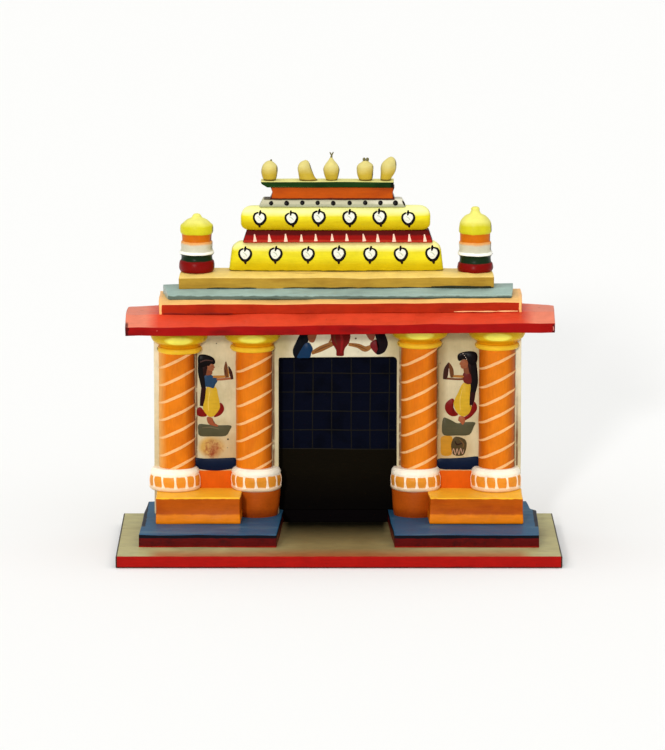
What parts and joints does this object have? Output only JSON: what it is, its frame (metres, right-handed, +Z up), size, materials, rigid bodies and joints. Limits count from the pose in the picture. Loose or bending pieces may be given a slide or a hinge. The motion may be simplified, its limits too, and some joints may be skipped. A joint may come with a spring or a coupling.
{
  "type": "painted model gopuram gateway",
  "caption": "Small hand-painted model of a temple gateway: pillared porch on a base plate, closed doorway, stepped roof boards, corner turrets and a barrel crown with pots.",
  "frame": {"origin": "middle of the base plate's underside", "axes": "+Z up, -Y out of the painted front, +X to the right seen from the front"},
  "size_m": [0.2, 0.097, 0.1776],
  "materials": {
    "base_paint": "olive gloss paint with a red front edge",
    "plinth_paint": "blue-grey gloss paint with maroon sides",
    "bench_paint": "orange gloss paint",
    "wall_paint": "cream paint with painted attendants",
    "door_paint": "dark blue and brown paint with a lattice",
    "ring_paint": "white and orange gloss paint",
    "shaft_paint": "orange gloss paint with cream spiral lines",
    "capital_paint": "yellow gloss paint",
    "eave_paint": "red gloss paint",
    "cornice_orange_paint": "orange and peach gloss paint",
    "cornice_grey_paint": "pale blue-grey gloss paint",
    "roof_slab_paint": "pale yellow gloss paint",
    "barrel_paint": "lemon yellow gloss paint with brushed medallions",
    "neck_paint": "dark red gloss paint with pale teeth",
    "course_paint": "grey-white gloss paint with black dots",
    "top_block_paint": "orange gloss paint",
    "top_slab_paint": "dark green gloss paint, pale yellow on top",
    "turret_paint": "banded gloss paint: red, green, white, orange and yellow",
    "pot_paint": "cream-yellow gloss paint"
  },
  "bodies": {
    "root": {"base_plate": "base_paint", "plinth_left": "plinth_paint", "plinth_right": "plinth_paint", "plinth_rear": "plinth_paint", "bench_left": "bench_paint", "bench_right": "bench_paint", "drum_left": "bench_paint", "drum_right": "bench_paint", "wall_left": "wall_paint", "wall_right": "wall_paint", "lintel": "wall_paint", "back_board": "door_paint", "ring_outer_left": "ring_paint", "ring_inner_left": "ring_paint", "ring_inner_right": "ring_paint", "ring_outer_right": "ring_paint", "shaft_outer_left": "shaft_paint", "shaft_inner_left": "shaft_paint", "shaft_inner_right": "shaft_paint", "shaft_outer_right": "shaft_paint", "capital_outer_left": "capital_paint", "capital_inner_left": "capital_paint", "capital_inner_right": "capital_paint", "capital_outer_right": "capital_paint", "eave_board": "eave_paint", "cornice_orange": "cornice_orange_paint", "cornice_grey": "cornice_grey_paint", "roof_slab": "roof_slab_paint", "turret_left": "turret_paint", "turret_right": "turret_paint", "barrel_lower": "barrel_paint", "neck_red": "neck_paint", "barrel_upper": "barrel_paint", "dotted_course": "course_paint", "top_block": "top_block_paint", "top_slab": "top_slab_paint", "pot_1": "pot_paint", "pot_2": "pot_paint", "pot_3": "pot_paint", "pot_4": "pot_paint", "pot_5": "pot_paint"}
  },
  "joints": []
}
